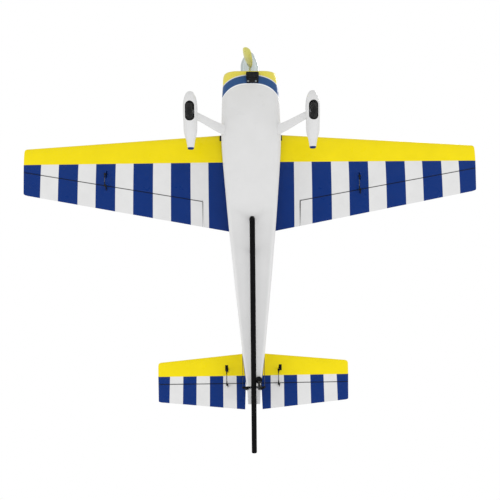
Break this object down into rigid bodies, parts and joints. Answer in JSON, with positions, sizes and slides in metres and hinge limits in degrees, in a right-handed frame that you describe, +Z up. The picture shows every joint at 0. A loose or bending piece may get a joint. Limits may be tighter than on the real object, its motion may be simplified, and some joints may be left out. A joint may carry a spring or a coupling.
{
  "type": "rc aerobatic model aircraft",
  "caption": "Propeller-driven radio control aerobatic model aircraft with hinged control surfaces, wheel pants and a display rod.",
  "frame": {"origin": "centre of the bounding box in plan, at the ground the wheels stand on", "axes": "+Z up, nose towards -Y, +X to the model's own left wing"},
  "size_m": [1.4132, 1.2324, 0.4181],
  "materials": {
    "white_finish": "gloss white film",
    "cowl_finish": "gloss yellow with a blue band",
    "wing_finish": "gloss film in yellow, blue and white",
    "tail_finish": "gloss film in yellow, blue and white",
    "yellow_plastic": "moulded yellow",
    "spinner_metal": "polished",
    "machined_aluminium": "turned",
    "motor_steel": "satin",
    "black_plastic": "moulded black",
    "black_rod": "satin black",
    "steel_wire": "dark drawn wire",
    "screw_steel": "bright",
    "wheel_rubber": "black rubber",
    "canopy_glass": "tinted clear plastic",
    "battery_wrap": "shrink wrap",
    "plywood": "light plywood"
  },
  "bodies": {
    "airframe": {"fuselage": "white_finish", "cowl": "cowl_finish", "chin_scoop": "black_plastic", "equipment_tray": "plywood", "motor_stator": "motor_steel", "stand_rod": "black_rod", "stand_post": "black_rod", "wing_joiner": "machined_aluminium", "battery": "battery_wrap", "speed_controller": "black_plastic", "receiver": "black_plastic", "wing_left": "wing_finish", "wing_right": "wing_finish", "stabilizer": "tail_finish", "fin": "white_finish", "aileron_servos": "black_plastic", "elevator_servos": "black_plastic", "aileron_hinges": "steel_wire", "elevator_hinges": "steel_wire", "rudder_hinges": "steel_wire", "rudder_servo": "black_plastic", "gear_leg_left": "white_finish", "gear_leg_right": "white_finish", "wheel_pant_left": "white_finish", "wheel_pant_right": "white_finish", "axles": "steel_wire", "tail_wheel_bracket": "black_plastic", "screws": "screw_steel"},
    "propeller_group": {"propeller": "yellow_plastic", "spinner": "spinner_metal", "spinner_backplate": "machined_aluminium", "motor_bell": "motor_steel"},
    "canopy": {"canopy_hatch": "white_finish", "canopy_glass": "canopy_glass"},
    "rudder_body": {"rudder": "white_finish", "rudder_horn": "black_plastic"},
    "rudder_servo_arm_body": {"rudder_servo_arm": "black_plastic"},
    "tail_strut_body": {"tail_wheel_strut": "steel_wire"},
    "tail_wheel_body": {"tail_wheel": "wheel_rubber"},
    "wheel_left_body": {"wheel_left": "wheel_rubber"},
    "wheel_right_body": {"wheel_right": "wheel_rubber"},
    "aileron_left_body": {"aileron_left": "wing_finish", "aileron_horn_left": "black_plastic"},
    "aileron_arm_left_body": {"aileron_servo_arm_left": "black_plastic"},
    "aileron_pushrod_left_body": {"aileron_pushrod_left": "steel_wire"},
    "aileron_right_body": {"aileron_right": "wing_finish", "aileron_horn_right": "black_plastic"},
    "aileron_arm_right_body": {"aileron_servo_arm_right": "black_plastic"},
    "aileron_pushrod_right_body": {"aileron_pushrod_right": "steel_wire"},
    "elevator_left_body": {"elevator_left": "tail_finish", "elevator_horn_left": "black_plastic"},
    "elevator_arm_left_body": {"elevator_servo_arm_left": "black_plastic"},
    "elevator_pushrod_left_body": {"elevator_pushrod_left": "steel_wire"},
    "elevator_right_body": {"elevator_right": "tail_finish", "elevator_horn_right": "black_plastic"},
    "elevator_arm_right_body": {"elevator_servo_arm_right": "black_plastic"},
    "elevator_pushrod_right_body": {"elevator_pushrod_right": "steel_wire"},
    "rudder_cable_left_body": {"rudder_cable_left": "steel_wire"},
    "rudder_cable_right_body": {"rudder_cable_right": "steel_wire"}
  },
  "joints": [
    {"name": "propeller_spin", "type": "hinge", "parent": "airframe", "child": "propeller_group", "pos_m": [0, -0.56687, 0.23083], "axis": [0, 0.9871, -0.1599], "continuous": true},
    {"name": "canopy_lift", "type": "slide", "parent": "airframe", "child": "canopy", "axis": [0, 0.1599, 0.9871], "range_m": [0, 0.15]},
    {"name": "aileron_left_hinge", "type": "hinge", "parent": "airframe", "child": "aileron_left_body", "pos_m": [0.15, -0.15326, 0.15572], "axis": [0.9852, -0.1692, 0.0274], "range_deg": [-20, 20]},
    {"name": "aileron_left_arm", "type": "hinge", "parent": "airframe", "child": "aileron_arm_left_body", "pos_m": [0.337, -0.22585, 0.16748], "axis": [0.9852, -0.1692, 0.0274], "range_deg": [-20, 20]},
    {"name": "aileron_left_pushrod", "type": "hinge", "parent": "aileron_arm_left_body", "child": "aileron_pushrod_left_body", "pos_m": [0.337, -0.22984, 0.1428], "axis": [0.9852, -0.1692, 0.0274], "range_deg": [-20, 20]},
    {"name": "aileron_right_hinge", "type": "hinge", "parent": "airframe", "child": "aileron_right_body", "pos_m": [-0.15, -0.15326, 0.15572], "axis": [0.9852, 0.1692, -0.0274], "range_deg": [-20, 20]},
    {"name": "aileron_right_arm", "type": "hinge", "parent": "airframe", "child": "aileron_arm_right_body", "pos_m": [-0.447, -0.23881, 0.16958], "axis": [0.9852, 0.1692, -0.0274], "range_deg": [-20, 20]},
    {"name": "aileron_right_pushrod", "type": "hinge", "parent": "aileron_arm_right_body", "child": "aileron_pushrod_right_body", "pos_m": [-0.447, -0.24281, 0.1449], "axis": [0.9852, 0.1692, -0.0274], "range_deg": [-20, 20]},
    {"name": "elevator_left_hinge", "type": "hinge", "parent": "airframe", "child": "elevator_left_body", "pos_m": [0.025, 0.41524, 0.08996], "axis": [1, 0, 0], "range_deg": [-20, 20]},
    {"name": "elevator_left_arm", "type": "hinge", "parent": "airframe", "child": "elevator_arm_left_body", "pos_m": [0.081, 0.37181, 0.097], "axis": [1, 0, 0], "range_deg": [-20, 20]},
    {"name": "elevator_left_pushrod", "type": "hinge", "parent": "elevator_arm_left_body", "child": "elevator_pushrod_left_body", "pos_m": [0.081, 0.36829, 0.07528], "axis": [1, 0, 0], "range_deg": [-20, 20]},
    {"name": "elevator_right_hinge", "type": "hinge", "parent": "airframe", "child": "elevator_right_body", "pos_m": [-0.025, 0.41524, 0.08996], "axis": [1, 0, 0], "range_deg": [-20, 20]},
    {"name": "elevator_right_arm", "type": "hinge", "parent": "airframe", "child": "elevator_arm_right_body", "pos_m": [-0.081, 0.37181, 0.097], "axis": [1, 0, 0], "range_deg": [-20, 20]},
    {"name": "elevator_right_pushrod", "type": "hinge", "parent": "elevator_arm_right_body", "child": "elevator_pushrod_right_body", "pos_m": [-0.081, 0.36829, 0.07528], "axis": [1, 0, 0], "range_deg": [-20, 20]},
    {"name": "rudder_hinge", "type": "hinge", "parent": "airframe", "child": "rudder_body", "pos_m": [0, 0.42026, 0.07091], "axis": [0, 0.1599, 0.9871], "range_deg": [-20, 20]},
    {"name": "rudder_arm", "type": "hinge", "parent": "airframe", "child": "rudder_servo_arm_body", "pos_m": [0, 0.05508, 0.11791], "axis": [0, 0.1599, 0.9871], "range_deg": [-20, 20]},
    {"name": "rudder_cable_left", "type": "hinge", "parent": "rudder_servo_arm_body", "child": "rudder_cable_left_body", "pos_m": [0.034, 0.05508, 0.11791], "axis": [0, 0.1599, 0.9871], "range_deg": [-20, 20]},
    {"name": "rudder_cable_right", "type": "hinge", "parent": "rudder_servo_arm_body", "child": "rudder_cable_right_body", "pos_m": [-0.034, 0.05508, 0.11791], "axis": [0, 0.1599, 0.9871], "range_deg": [-20, 20]},
    {"name": "tail_wheel_steer", "type": "hinge", "parent": "airframe", "child": "tail_strut_body", "pos_m": [0.015, 0.39017, 0.03526], "axis": [0, 0.1599, 0.9871], "range_deg": [-12, 12]},
    {"name": "tail_wheel_spin", "type": "hinge", "parent": "tail_strut_body", "child": "tail_wheel_body", "pos_m": [0.015, 0.39467, 0.013], "axis": [1, 0, 0], "continuous": true},
    {"name": "wheel_left_spin", "type": "hinge", "parent": "airframe", "child": "wheel_left_body", "pos_m": [0.175, -0.41925, 0.029], "axis": [1, 0, 0], "continuous": true},
    {"name": "wheel_right_spin", "type": "hinge", "parent": "airframe", "child": "wheel_right_body", "pos_m": [-0.175, -0.41925, 0.029], "axis": [1, 0, 0], "continuous": true}
  ],
  "couplings": [
    {"joint": "aileron_left_arm", "follows": "aileron_left_hinge", "ratio": 1},
    {"joint": "aileron_left_pushrod", "follows": "aileron_left_hinge", "ratio": -1},
    {"joint": "aileron_right_hinge", "follows": "aileron_left_hinge", "ratio": -1},
    {"joint": "aileron_right_arm", "follows": "aileron_left_hinge", "ratio": -1},
    {"joint": "aileron_right_pushrod", "follows": "aileron_left_hinge", "ratio": 1},
    {"joint": "elevator_left_arm", "follows": "elevator_left_hinge", "ratio": 1},
    {"joint": "elevator_left_pushrod", "follows": "elevator_left_hinge", "ratio": -1},
    {"joint": "elevator_right_hinge", "follows": "elevator_left_hinge", "ratio": 1},
    {"joint": "elevator_right_arm", "follows": "elevator_left_hinge", "ratio": 1},
    {"joint": "elevator_right_pushrod", "follows": "elevator_left_hinge", "ratio": -1},
    {"joint": "rudder_arm", "follows": "rudder_hinge", "ratio": 1},
    {"joint": "rudder_cable_left", "follows": "rudder_hinge", "ratio": -1},
    {"joint": "rudder_cable_right", "follows": "rudder_hinge", "ratio": -1},
    {"joint": "tail_wheel_steer", "follows": "rudder_hinge", "ratio": 0.6}
  ]
}
